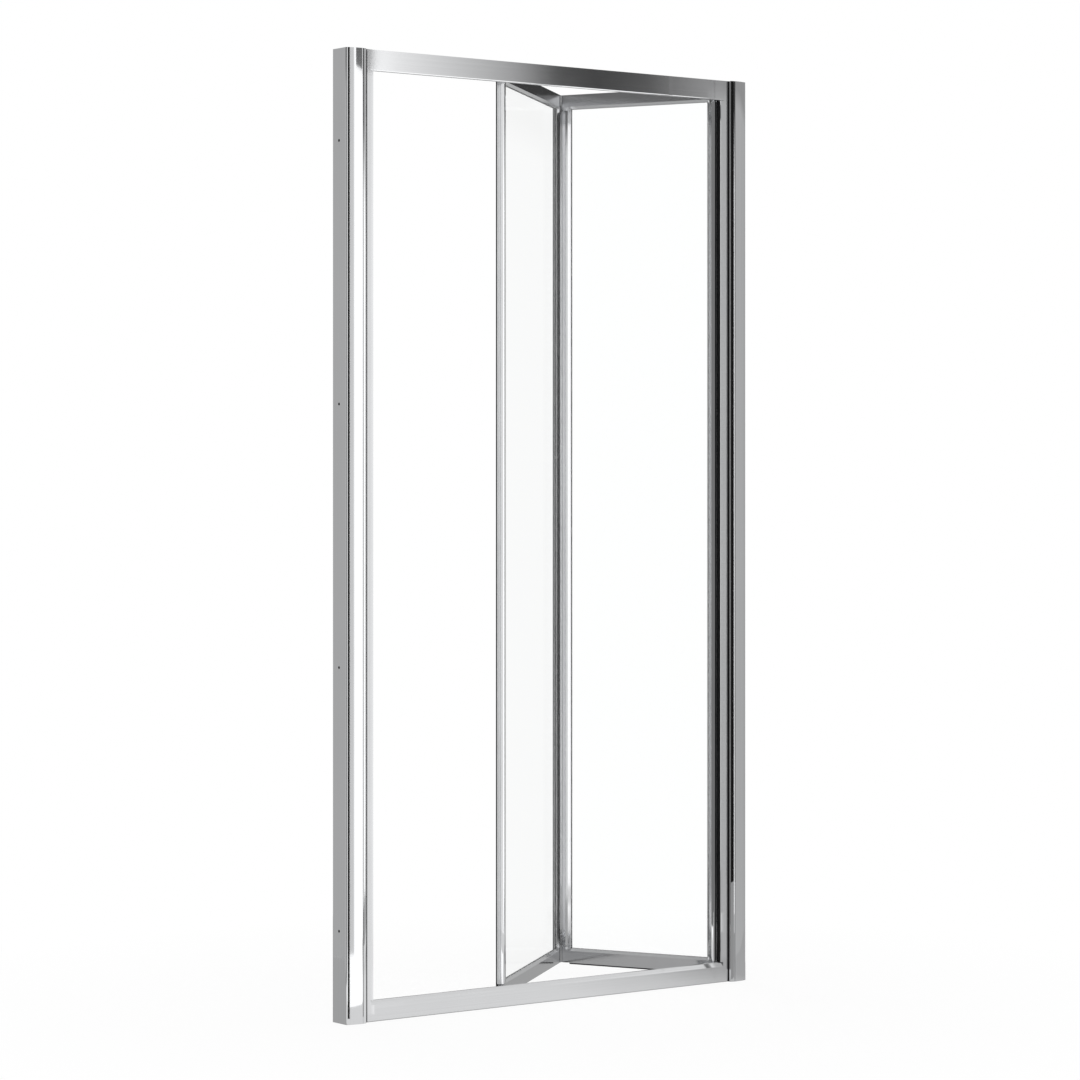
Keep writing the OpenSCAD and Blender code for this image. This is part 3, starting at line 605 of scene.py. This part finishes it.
def wiper(name, x0, x1, place, body, node):
    """Drip wiper: a foot in the rail's slot, a long blade and a short lip on each side."""
    made = Solid()
    foot = [(-2.2, 18.05), (-1.2, 17.7), (1.2, 17.7), (2.2, 18.05), (2.2, 18.8), (-2.2, 18.8)]
    made.extrude(rounded(mm(foot), 0.0001, 2), x0, x1, place @ ALONG)
    blade = [Vector((0, 18.0)), Vector((0, 17.2)), Vector((0.05, 16.2)), Vector((0.15, 15.2)),
             Vector((0.35, 14.3))]
    made.extrude(fin(mm(blade), 0.0011, 0.0005), x0, x1, place @ ALONG)
    for side in (-1, 1):
        lip = [Vector((side * w, h)) for w, h in ((0.3, 17.6), (0.6, 17.0), (0.75, 16.4))]
        made.extrude(fin(mm(lip), 0.0005, 0.0003), x0, x1, place @ ALONG)
    made.piece(name, body, "soft_seal", MATS["wiper"], [node], 50)


def pane_gasket(name, x0, x1, place, body, node, outer=(1.0, 1.0), inner=(1.0, 1.0)):
    """Grey gasket round a pane's edge, with a rounded lip on each face of the glass.

    outer and inner widen or narrow the lips at x0 and x1 on the two faces of the glass.
    """
    sight, glass_face, lip_face = 5.6, 2.02, 3.15
    made = Solid()
    for side, wide in ((-1, outer), (1, inner)):
        face, out = side * glass_face, side * lip_face
        section = [(0.1, face), (0.1, out), (sight - 1.0, out), (sight - 0.5, side * 3.0)]
        section += [(sight - 0.12, side * 2.6), (sight, side * 2.2), (sight - 0.1, face)]
        made.frame(mm(section), x0, x1, GLASS_LOW, GLASS_HIGH, place, wide)
    edge = [(0.05, -3.1), (0.05, 3.1), (0.9, 3.1), (0.9, -3.1)]
    made.frame(mm(edge), x0, x1, GLASS_LOW, GLASS_HIGH, place)
    made.piece(name, body, "glazing_gasket", MATS["gasket"], [node], 50)


def buffer():
    """Rubber end stop: a block with three moulded ribs on its face."""
    low, high = [Vector(p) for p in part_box("track_stop_buffer")]
    made = Solid()
    rib_deep, ribs, count = 0.0009, 3, 24
    half, base = (high.y - low.y) / 2, low.x + rib_deep
    outline = [Vector((high.x, -half)), Vector((high.x, half)), Vector((base, half))]
    for k in range(count + 1):
        y = half - 2 * half * k / count
        swell = abs(math.sin(ribs * math.pi * k / count))
        outline.append(Vector((base - rib_deep * swell, y)))
    outline.append(Vector((base, -half)))
    made.extrude(outline, low.z, high.z, UPRIGHT)
    made.piece(
        "track_buffer", "frame", "black_rubber", MATS["black"], ["track_stop_buffer"], 40,
    )


def make_seals():
    pivot_jamb_seal()
    # Painted shade: black strips for the shadow in each jamb's slot.
    shadow_gap_strips()
    jamb_magnet_strip()
    closing_seal()
    fold_seal()
    wiper(
        "hinge_leaf_drip_wiper", BEAD_FACE, -0.022, ON_HINGE_LEAF, "hinge_leaf",
        "hinge_leaf_wiper",
    )
    wiper(
        "sliding_leaf_drip_wiper", 0.031 - SLIDE_LEN, SOCKET_FACE, ON_SLIDING_MIDDLE,
        "sliding_leaf", "sliding_leaf_wiper",
    )
    pane_gasket(
        "hinge_leaf_pane_gasket", BEAD_FACE, PIVOT_FACE, ON_HINGE_LEAF, "hinge_leaf",
        "hinge_leaf_gasket", (0.88, 1.28), (0.95, 1.0),
    )
    pane_gasket(
        "sliding_leaf_pane_gasket", GUIDE_FACE, SOCKET_FACE, ON_SLIDING_MIDDLE, "sliding_leaf",
        "sliding_leaf_gasket", (1.0, 1.0), (1.0, 0.95),
    )
    buffer()


make_seals()


# ---------- Screws ----------

# Corners of the cross recess, in parts of its size
CROSS = [(1, 1), (4, 1), (4, -1), (1, -1), (1, -4), (-1, -4), (-1, -1), (-4, -1), (-4, 1),
         (-1, 1), (-1, 4), (1, 4)]

# Head radius, thread radius, length and whether the head is countersunk
LEAF_SCREW = (0.0035, 0.002, 0.031, True)
ADJUSTER_SCREW = (0.004, 0.002, 0.0144, False)
FLOOR_BLOCK_SCREW = (0.0038, 0.002, 0.0152, True)
HEAD_BLOCK_SCREW = (0.0038, 0.002, 0.0105, True)


def screw_profile(head, thread_r, length, countersunk):
    """Radius and height from the head's rim to the tip, with a ridged thread."""
    rim, pan_high = 0.00012, 0.0018
    if countersunk:
        profile = [(head - rim, 0.0), (head, rim), (thread_r + 0.0001, head - thread_r + rim)]
    else:
        profile = [(head * 0.8, 0.0), (head - rim, 0.0003), (head, 0.0009), (head, pan_high)]
        profile += [(thread_r, pan_high)]
    pitch, tip, root = 0.0012, 0.003, 0.78
    z = profile[-1][1] + pitch / 2
    while z < length - tip:
        crest = [(thread_r, z + pitch * 0.4), (thread_r, z + pitch * 0.5)]
        profile += [(thread_r * root, z)] + crest
        z += pitch
    return profile + [(thread_r * 0.75, length - 0.002), (thread_r * 0.2, length)]


def screw(made, place, head, thread_r, length, countersunk):
    """A cross-recessed screw driven along its own +Z, with its head's face at z = 0."""
    sides, unit, deep, taper = 36, head / 6.6, head * 0.45, 0.7
    rings = made.turned(screw_profile(head, thread_r, length, countersunk), place, sides)
    made.faces.append(tuple(rings[-1]))
    loops = []
    for size, z in ((unit, 0), (unit * taper, deep)):
        loops.append(made.loop([place @ Vector((x * size, y * size, z)) for x, y in CROSS]))
    top, foot = loops
    made.bridge(top, foot)
    made.faces.append(tuple(foot))
    face_with_cross(made, rings[0], top, sides)


def face_with_cross(made, ring, cross, sides):
    """The head's face between its round rim and the cross-shaped recess."""
    corner_turns = [math.degrees(math.atan2(y, x)) for x, y in CROSS]
    nearest = []
    for k in range(sides):
        turn = math.degrees(2 * math.pi * (k + 0.5) / sides)
        gaps = [abs((turn - c + 180) % 360 - 180) for c in corner_turns]
        nearest.append(gaps.index(min(gaps)))
    for k in range(sides):
        n = (k + 1) % sides
        a, b = nearest[k], nearest[n]
        if a == b:
            made.faces.append((ring[k], ring[n], cross[a]))
        else:
            step = 1 if (b - a) % len(CROSS) < (a - b) % len(CROSS) else -1
            chain = [a]
            while chain[-1] != b:
                chain.append((chain[-1] + step) % len(CROSS))
            made.faces.append(tuple([ring[k], ring[n]] + [cross[c] for c in reversed(chain)]))


def driven(x, y, z, way):
    """Stands a screw's head at a point, driven in the given direction."""
    turn = Vector(way).to_track_quat("Z", "Y").to_matrix().to_4x4()
    return Matrix.Translation(Vector((x, y, z))) @ turn


def corner_screws():
    """Two screws at each corner's height, from each edge of each leaf."""
    from_end = 0.018
    hinge, slide = Solid(), Solid()
    # Piece, leaf, the head's place along and across it, and the way the screw is driven
    edges = [
        (hinge, ON_HINGE_LEAF, 0.00709, 0, -1), (hinge, ON_HINGE_LEAF, -0.3444, 0, 1),
        (slide, ON_SLIDING_LEAF, -0.0035, FOLD_OFF, -1), (slide, ON_GUIDE, -0.008, 0, 1),
    ]
    for z in (LEAF_LOW + from_end, LEAF_HIGH - from_end):
        for made, leaf, x, y, way in edges:
            screw(made, leaf @ driven(x, y, z, (way, 0, 0)), *LEAF_SCREW)
    hinge.piece(
        "hinge_leaf_corner_screws", "hinge_leaf", "stainless_steel", MATS["steel"],
        ["hinge_leaf_screws"],
    )
    slide.piece(
        "sliding_leaf_corner_screws", "sliding_leaf", "stainless_steel", MATS["steel"],
        ["sliding_leaf_screws"],
    )


def frame_fixings():
    """Pan heads behind the jambs, countersunk heads in the blocks and the track stop."""
    made = Solid()
    jamb_x, jamb_back, heights = 0.461, 0.0264, (0.15, 0.925, 1.7)
    for x in (-jamb_x, jamb_x):
        for z in heights:
            screw(made, driven(x, jamb_back, z, (0, -1, 0)), *ADJUSTER_SCREW)
    made.piece(
        "jamb_adjuster_screws", "frame", "stainless_steel", MATS["steel"], ["adjuster_screws"],
    )
    blocks, block_x, floor_face, head_face = Solid(), 0.417, 0.0155, 1.8392
    screw(blocks, driven(block_x, 0, floor_face, (0, 0, -1)), *FLOOR_BLOCK_SCREW)
    screw(blocks, driven(block_x, 0, head_face, (0, 0, 1)), *HEAD_BLOCK_SCREW)
    blocks.piece(
        "pivot_block_fixings", "frame", "stainless_steel", MATS["steel"],
        ["pivot_block_screws"],
    )
    stop = Solid()
    low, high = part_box("track_stop_screw")
    middle, length = (low[0] + high[0]) / 2, high[2] - low[2]
    screw(stop, driven(middle, 0, low[2], (0, 0, 1)), *HEAD_BLOCK_SCREW[:2], length, True)
    stop.piece(
        "track_stop_fixing", "frame", "stainless_steel", MATS["steel"], ["track_stop_screw"],
    )


corner_screws()
frame_fixings()


# ---------- Studio ----------

WHITE = (1, 1, 1, 1)
FRONT_STRENGTH = 1.35

# Heights of the floor and of the level cards that lie just over it
FLOOR_Z, FLOOR_CARD_Z, UPPER_CARD_Z = -0.0003, -0.0002, -0.0001


def stage_plane(name, corners, material):
    """A flat piece of the studio, given by its corners."""
    me = bpy.data.meshes.new(name)
    me.from_pydata(corners, [], [tuple(range(len(corners)))])
    me.materials.append(material)
    o = bpy.data.objects.new(name, me)
    bpy.context.scene.collection.objects.link(o)
    return o


def seen_rays(s):
    """1 where the camera, a mirror or clear glass looks, else 0."""
    path = s.node("ShaderNodeLightPath")
    seen = s.math("MAXIMUM", path.outputs["Is Camera Ray"], path.outputs["Is Glossy Ray"])
    return s.math("MAXIMUM", seen, path.outputs["Is Transmission Ray"])


def background(s, strength):
    n = s.node("ShaderNodeBackground")
    n.inputs["Color"].default_value = WHITE
    n.inputs["Strength"].default_value = strength
    return n.outputs[0]


def blend(s, share, a, b):
    """Shows b for that share of the light, else a."""
    mix = s.node("ShaderNodeMixShader")
    s.link(share, mix.inputs[0])
    s.link(a, mix.inputs[1])
    s.link(b, mix.inputs[2])
    s.link(mix.outputs[0], s.out.inputs["Surface"])


def make_world():
    """A white surround that lights the door a little less than it shows."""
    world = bpy.data.worlds.new("studio")
    bpy.context.scene.world = world
    world.use_nodes = True
    s = Shader.__new__(Shader)
    s.tree = world.node_tree
    s.tree.nodes.clear()
    s.out = s.tree.nodes.new("ShaderNodeOutputWorld")
    blend(s, seen_rays(s), background(s, 0.6), background(s, 1.0))


def make_floor():
    """Pale floor: it keeps a soft shadow near the door and runs out to white."""
    s = Shader("pale_floor")
    paint = s.node("ShaderNodeBsdfDiffuse")
    paint.inputs["Color"].default_value = (0.88, 0.88, 0.88, 1)
    white = s.node("ShaderNodeEmission")
    c = s.node("ShaderNodeTexCoord")
    far = s.node("ShaderNodeVectorMath", operation="LENGTH")
    s.link(c.outputs["Object"], far.inputs[0])
    fade = s.remap(far.outputs["Value"], 0.93, 1.0, 0.5, 1.4)
    blend(s, s.math("MULTIPLY", fade, seen_rays(s)), paint.outputs[0], white.outputs[0])
    r = 9.0
    stage_plane("floor", level(-r, r, -r, r, FLOOR_Z), s.mat)


def card(name, corners, build, strength=1.0):
    """A studio card whose tone is a procedural gradient. Only reflections see it."""
    s = Shader(name)
    glow = s.node("ShaderNodeEmission")
    glow.inputs["Strength"].default_value = strength
    s.link(build(s), glow.inputs["Color"])
    s.mat.cycles.emission_sampling = "NONE"
    clear = s.node("ShaderNodeBsdfTransparent")
    path = s.node("ShaderNodeLightPath")
    mirrored = s.math("GREATER_THAN", path.outputs["Glossy Depth"], 0.5)
    blend(s, mirrored, clear.outputs[0], glow.outputs[0])
    o = stage_plane(name, corners, s.mat)
    o.visible_camera = False
    o.visible_diffuse = False
    o.visible_shadow = False


def grey(value):
    return (value, value, value)


def ramp(s, value, stops):
    """A grey for each value, by straight lines between the stops (place, linear grey)."""
    low, high = stops[0][0], stops[-1][0]
    r = s.node("ShaderNodeValToRGB")
    elements = r.color_ramp.elements
    while len(elements) < len(stops):
        elements.new(0.5)
    for e, (place, tone) in zip(elements, stops):
        e.position = (place - low) / (high - low)
        e.color = (*grey(tone), 1)
    s.link(s.remap(value, 0.0, 1.0, low, high), r.inputs[0])
    return r.outputs[0]


def axis(s, i):
    """The object's own x, y or z."""
    c = s.node("ShaderNodeTexCoord")
    split = s.node("ShaderNodeSeparateXYZ")
    s.link(c.outputs["Object"], split.inputs[0])
    return split.outputs[i]


def by_height(s, below, above, z0, z1):
    """One tone below z0 and another above z1, with a soft change between them."""
    return s.mix_colour(s.remap(axis(s, 2), 0.0, 1.0, z0, z1), below, above)


def upright(x0, y0, x1, y1, z0, z1):
    """Corners of a card that stands on a line in the plan."""
    return [(x0, y0, z0), (x1, y1, z0), (x1, y1, z1), (x0, y0, z1)]


def level(x0, x1, y0, y1, z):
    """Corners of a card that lies flat."""
    return [(x0, y0, z), (x1, y0, z), (x1, y1, z), (x0, y1, z)]


def front_tone(s):
    """Softboxes in front: white, with a dark valley between them that only the head rail sees."""
    high = ramp(s, axis(s, 0), [
        (-0.9, 0.52), (-0.31, 0.54), (-0.26, 1.0), (0.24, 0.95), (0.30, 0.74), (0.40, 0.6),
        (0.62, 0.32), (0.75, 0.08), (0.86, 0.045), (1.02, 0.075), (1.2, 0.24), (1.5, 0.37),
        (3.2, 0.37),
    ])
    low = ramp(s, axis(s, 0), [(-0.9, 0.52), (-0.31, 0.54), (-0.26, 1.0), (3.2, 1.0)])
    return by_height(s, low, high, 1.72, 1.9)


def right_tone(s):
    """Mid grey that darkens to the right, and darker above the line of the head rail."""
    side = ramp(s, axis(s, 0), [(0.6, 0.5), (1.2, 0.48), (1.5, 0.36), (2.0, 0.2)])
    return by_height(s, side, grey(0.34), 1.84, 1.88)


def jamb_tone(s):
    """Light grey on the strike jamb's face, paler towards its inner edge."""
    return ramp(s, axis(s, 0), [
        (-0.3955, 0.64), (-0.3865, 0.62), (-0.378, 0.74), (-0.3755, 0.86),
    ])


def left_tone(s):
    """What the folded leaves look at: dark by the pivot, light beside the fold."""
    deep = ramp(s, axis(s, 1), [
        (-0.4, 0.3), (0.06, 0.28), (0.2, 0.17), (0.27, 0.3), (0.31, 0.9), (0.5, 0.8),
        (0.6, 0.47), (1.6, 0.47),
    ])
    high = ramp(s, axis(s, 1), [(-0.4, 0.16), (0.45, 0.16), (0.6, 0.47), (1.6, 0.47)])
    return by_height(s, deep, high, 1.84, 1.9)


def rear_right_tone(s):
    """Pale grey beside the sliding leaf, dark above the line of its top rail."""
    slope = s.math("ADD", axis(s, 2), s.math("MULTIPLY", axis(s, 1), 0.41))
    return s.mix_colour(s.remap(slope, 0.0, 1.0, 1.96, 2.03), grey(0.5), grey(0.05))


def floor_front_tone(s):
    """Light in front of the sill, darker towards the right."""
    return ramp(s, axis(s, 0), [
        (-0.9, 0.82), (0.1, 0.82), (0.35, 0.68), (0.55, 0.45), (1.5, 0.4),
    ])


def floor_rear_tone(s):
    """Mid grey behind the sill, almost even."""
    return ramp(s, axis(s, 0), [(-0.9, 0.44), (-0.1, 0.43), (0.2, 0.4), (1.0, 0.42)])


def white_tone(s):
    return ramp(s, axis(s, 1), [(-1.0, 1.0), (-0.25, 1.0)])


def plain_grey(value):
    """An even grey, a little lighter towards the top."""
    return lambda s: ramp(s, axis(s, 2), [(0.0, value), (3.0, value * 1.2)])


# What the left wall profile's foot reflects: a level card cut along a slant, in plan
FLOOR_LEFT = [(-0.9, -0.25), (-0.2, -0.25), (0.2, -1.0), (-0.9, -1.0)]

# The dark line down the right wall profile, in plan
RIGHT_STRIP = (0.4385, -0.0516, 0.4765, -0.0968)


def make_large_cards():
    """The soft boxes that whole faces reflect."""
    card("card_front", upright(-0.9, -1.0, 3.2, -1.0, 0.0, 3.2), front_tone, FRONT_STRENGTH)
    card("card_right", upright(0.63, -0.3, 2.0, -0.3, 0.0, 2.2), right_tone)
    card("card_left", upright(-1.0, 1.6, -1.0, -0.4, 0.0, 3.2), left_tone)
    card("card_rear_right", upright(0.75, 0.3, 0.75, 1.4, 0.0, 2.8), rear_right_tone)
    card("floor_front", level(-1.0, 1.5, -1.0, -0.03, FLOOR_CARD_Z), floor_front_tone)
    left = [(x, y, UPPER_CARD_Z) for x, y in FLOOR_LEFT]
    card("floor_left", left, white_tone, FRONT_STRENGTH)
    card("floor_rear", level(-1.0, 0.75, -0.03, 1.6, FLOOR_CARD_Z), floor_rear_tone)


def make_narrow_cards():
    """Cards near the door, each turned so that only one kind of face reflects it."""
    card("card_stile_end", upright(0.4135, -0.0326, 0.4514, -0.0777, 0.02, 1.86), plain_grey(0.2))
    card("card_guide_bead", upright(0.165, -0.3, 0.235, -0.3, 0.0, 1.838), plain_grey(0.5))
    card("card_fold", upright(0.42, 0.06, 0.55, 0.06, 0.02, 1.87), plain_grey(0.04))
    card("card_rear_pivot", upright(0.17, 0.6, 0.3, 0.6, 0.0, 1.95), plain_grey(0.1))
    card("card_inner", upright(0.295, -0.0225, 0.381, -0.118, 0.1, 1.86), plain_grey(0.2))
    card("strip_right", upright(*RIGHT_STRIP, 0.2, 1.88), plain_grey(0.01))
    card("strip_right_foot", upright(*RIGHT_STRIP, 0.0, 0.2), plain_grey(0.33))
    card("strip_left", upright(-0.513, -0.1, -0.4835, -0.1, 0.0, 1.86), plain_grey(0.02))
    card(
        "card_strike_jamb", upright(-0.3955, -0.1, -0.3755, -0.1, 0.0, 1.812), jamb_tone,
        FRONT_STRENGTH,
    )
    card("card_sill", upright(-0.37, -0.1, 0.5, -0.1, 0.09, 0.13), plain_grey(0.8))
    card("card_over", upright(-0.2, -0.95, 0.2, -0.95, 1.93, 2.25), plain_grey(0.16))


def area_lamp(name, place, target, size, power):
    """A soft rectangular lamp, in watts, that reflections don't see."""
    data = bpy.data.lights.new(name, "AREA")
    data.shape = "RECTANGLE"
    data.size, data.size_y = size
    data.energy = power
    o = bpy.data.objects.new(name, data)
    o.location = place
    way = Vector(target) - Vector(place)
    o.rotation_euler = way.to_track_quat("-Z", "Y").to_euler()
    o.visible_glossy = False
    bpy.context.scene.collection.objects.link(o)


def make_lamps():
    area_lamp("key", (-2.2, -3.0, 3.2), (0, 0, 0.9), (2.0, 2.0), 45)
    area_lamp("fill", (2.6, -2.4, 2.0), (0, 0, 0.9), (2.0, 2.4), 18)
    area_lamp("back", (0.4, 3.0, 3.0), (0, 0, 0.8), (2.4, 1.6), 24)


# The photograph's view, fitted to the eight outer corners of the frame
CAMERA_PLACE = (-4.1757, -5.516, 1.0357)
CAMERA_TURN = (math.radians(90), 0, math.radians(-37.01))
CAMERA_LENS, CAMERA_SHIFT = 116.34, -0.0579


def make_camera():
    """Level, turned 37 degrees, through a long lens."""
    data = bpy.data.cameras.new("camera")
    data.sensor_width = 36.0
    data.lens = CAMERA_LENS
    data.shift_y = CAMERA_SHIFT
    data.clip_end = 60.0
    o = bpy.data.objects.new("camera", data)
    o.location = CAMERA_PLACE
    o.rotation_euler = CAMERA_TURN
    bpy.context.scene.collection.objects.link(o)
    bpy.context.scene.camera = o


make_world()
make_floor()
make_large_cards()
make_narrow_cards()
make_lamps()
make_camera()

bpy.context.scene.view_settings.view_transform = "Standard"


def plain(box):
    return [[round(float(v), 6) for v in corner] for corner in box]
